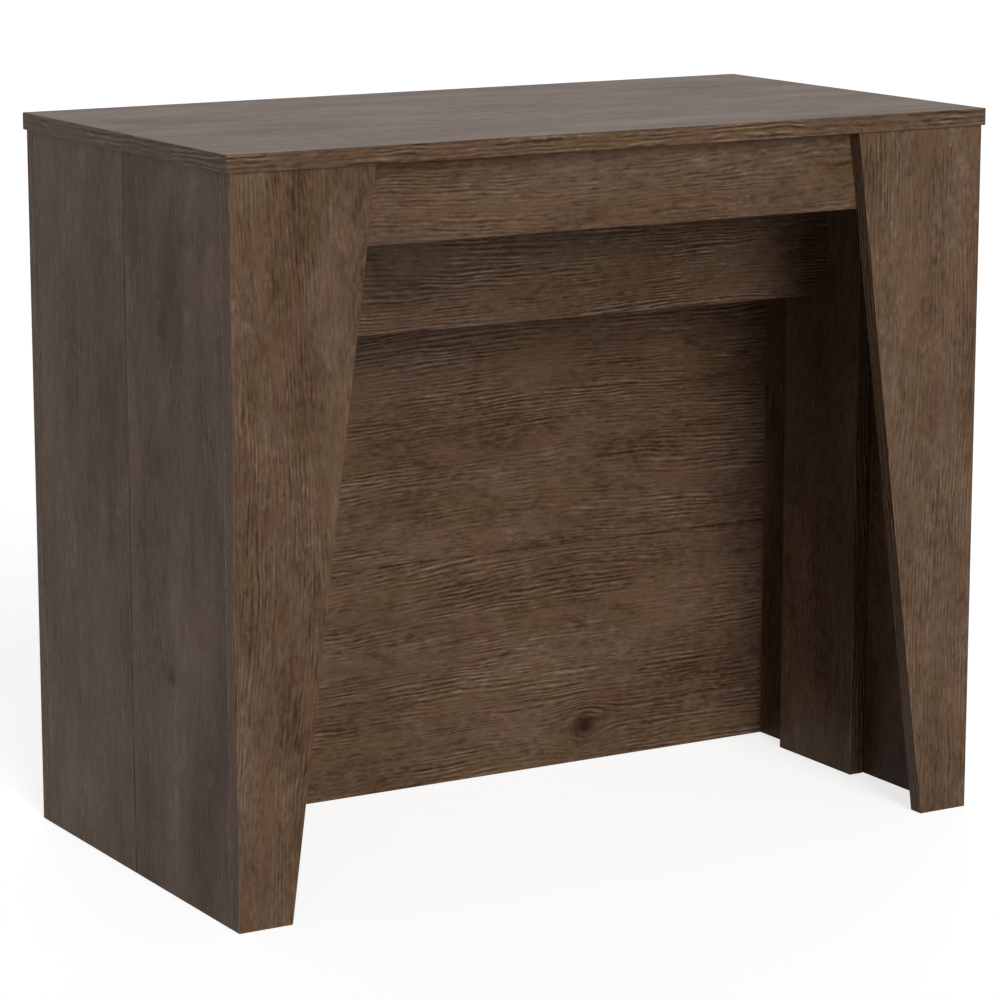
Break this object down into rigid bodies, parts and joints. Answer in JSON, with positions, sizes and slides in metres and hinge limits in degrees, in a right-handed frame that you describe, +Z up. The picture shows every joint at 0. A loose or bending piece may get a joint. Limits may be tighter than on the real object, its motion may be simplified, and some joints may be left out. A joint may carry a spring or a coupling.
{
  "type": "extending console table",
  "caption": "Console table in dark walnut board that draws out to a long dining table on telescopic aluminium bars, with tapered corner legs and a pair of middle legs.",
  "frame": {"origin": "on the floor, under the middle of the closed table", "axes": "+X to the right seen from the front, +Y from the front to the rear (the wall side), +Z up"},
  "size_m": [0.9, 0.48, 0.77],
  "materials": {
    "walnut_board": "dark walnut melamine with a fine embossed grain, satin",
    "aluminium_rail": "extruded and anodised, with fine draw lines",
    "nylon_shoe": "moulded, matte",
    "zinc_steel": "pressed steel, bright zinc",
    "beech_dowel": "turned and fluted, bare"
  },
  "bodies": {
    "rear_frame": {"back_panel": "walnut_board", "back_panel_cam_bolts": "zinc_steel", "back_panel_cams": "zinc_steel", "left_rail_bar_00": "aluminium_rail", "rail_shoes_00": "nylon_shoe", "rear_apron": "walnut_board", "rear_dowels": "beech_dowel", "rear_left_leg_panel": "walnut_board", "rear_left_side_panel": "walnut_board", "rear_rail_brackets": "zinc_steel", "rear_right_leg_panel": "walnut_board", "rear_right_side_panel": "walnut_board", "rear_screws": "zinc_steel", "right_rail_bar_00": "aluminium_rail"},
    "front_frame": {"front_apron": "walnut_board", "front_dowels": "beech_dowel", "front_left_leg_panel": "walnut_board", "front_left_side_panel": "walnut_board", "front_rail_brackets": "zinc_steel", "front_right_leg_panel": "walnut_board", "front_right_side_panel": "walnut_board", "front_screws": "zinc_steel", "left_rail_bar_10": "aluminium_rail", "rail_shoes_10": "nylon_shoe", "right_rail_bar_10": "aluminium_rail", "table_top": "walnut_board", "top_brackets": "zinc_steel"},
    "rail_stage_1": {"left_rail_bar_01": "aluminium_rail", "rail_shoes_01": "nylon_shoe", "right_rail_bar_01": "aluminium_rail"},
    "rail_stage_2": {"left_rail_bar_02": "aluminium_rail", "rail_shoes_02": "nylon_shoe", "right_rail_bar_02": "aluminium_rail"},
    "rail_stage_3": {"left_rail_bar_03": "aluminium_rail", "rail_shoes_03": "nylon_shoe", "right_rail_bar_03": "aluminium_rail"},
    "rail_stage_4": {"left_rail_bar_04": "aluminium_rail", "rail_shoes_04": "nylon_shoe", "right_rail_bar_04": "aluminium_rail"},
    "middle_legs": {"left_rail_bar_05": "aluminium_rail", "middle_crossbar": "walnut_board", "middle_left_leg": "walnut_board", "middle_rail_brackets": "zinc_steel", "middle_right_leg": "walnut_board", "middle_screws": "zinc_steel", "rail_shoes_05": "nylon_shoe", "right_rail_bar_05": "aluminium_rail"},
    "rail_stage_6": {"left_rail_bar_06": "aluminium_rail", "rail_shoes_06": "nylon_shoe", "right_rail_bar_06": "aluminium_rail"},
    "rail_stage_7": {"left_rail_bar_07": "aluminium_rail", "rail_shoes_07": "nylon_shoe", "right_rail_bar_07": "aluminium_rail"},
    "rail_stage_8": {"left_rail_bar_08": "aluminium_rail", "rail_shoes_08": "nylon_shoe", "right_rail_bar_08": "aluminium_rail"},
    "rail_stage_9": {"left_rail_bar_09": "aluminium_rail", "rail_shoes_09": "nylon_shoe", "right_rail_bar_09": "aluminium_rail"}
  },
  "joints": [
    {"name": "table_extend", "type": "slide", "parent": "rear_frame", "child": "front_frame", "axis": [0, -1, 0], "range_m": [0, 2.6]},
    {"name": "rail_slide_1", "type": "slide", "parent": "rear_frame", "child": "rail_stage_1", "axis": [0, -1, 0], "range_m": [0, 0.26]},
    {"name": "rail_slide_2", "type": "slide", "parent": "rear_frame", "child": "rail_stage_2", "axis": [0, -1, 0], "range_m": [0, 0.52]},
    {"name": "rail_slide_3", "type": "slide", "parent": "rear_frame", "child": "rail_stage_3", "axis": [0, -1, 0], "range_m": [0, 0.78]},
    {"name": "rail_slide_4", "type": "slide", "parent": "rear_frame", "child": "rail_stage_4", "axis": [0, -1, 0], "range_m": [0, 1.04]},
    {"name": "middle_legs_slide", "type": "slide", "parent": "rear_frame", "child": "middle_legs", "axis": [0, -1, 0], "range_m": [0, 1.3]},
    {"name": "rail_slide_6", "type": "slide", "parent": "rear_frame", "child": "rail_stage_6", "axis": [0, -1, 0], "range_m": [0, 1.56]},
    {"name": "rail_slide_7", "type": "slide", "parent": "rear_frame", "child": "rail_stage_7", "axis": [0, -1, 0], "range_m": [0, 1.82]},
    {"name": "rail_slide_8", "type": "slide", "parent": "rear_frame", "child": "rail_stage_8", "axis": [0, -1, 0], "range_m": [0, 2.08]},
    {"name": "rail_slide_9", "type": "slide", "parent": "rear_frame", "child": "rail_stage_9", "axis": [0, -1, 0], "range_m": [0, 2.34]}
  ],
  "couplings": [
    {"joint": "rail_slide_1", "follows": "table_extend", "ratio": 0.1},
    {"joint": "rail_slide_2", "follows": "table_extend", "ratio": 0.2},
    {"joint": "rail_slide_3", "follows": "table_extend", "ratio": 0.3},
    {"joint": "rail_slide_4", "follows": "table_extend", "ratio": 0.4},
    {"joint": "middle_legs_slide", "follows": "table_extend", "ratio": 0.5},
    {"joint": "rail_slide_6", "follows": "table_extend", "ratio": 0.6},
    {"joint": "rail_slide_7", "follows": "table_extend", "ratio": 0.7},
    {"joint": "rail_slide_8", "follows": "table_extend", "ratio": 0.8},
    {"joint": "rail_slide_9", "follows": "table_extend", "ratio": 0.9}
  ]
}
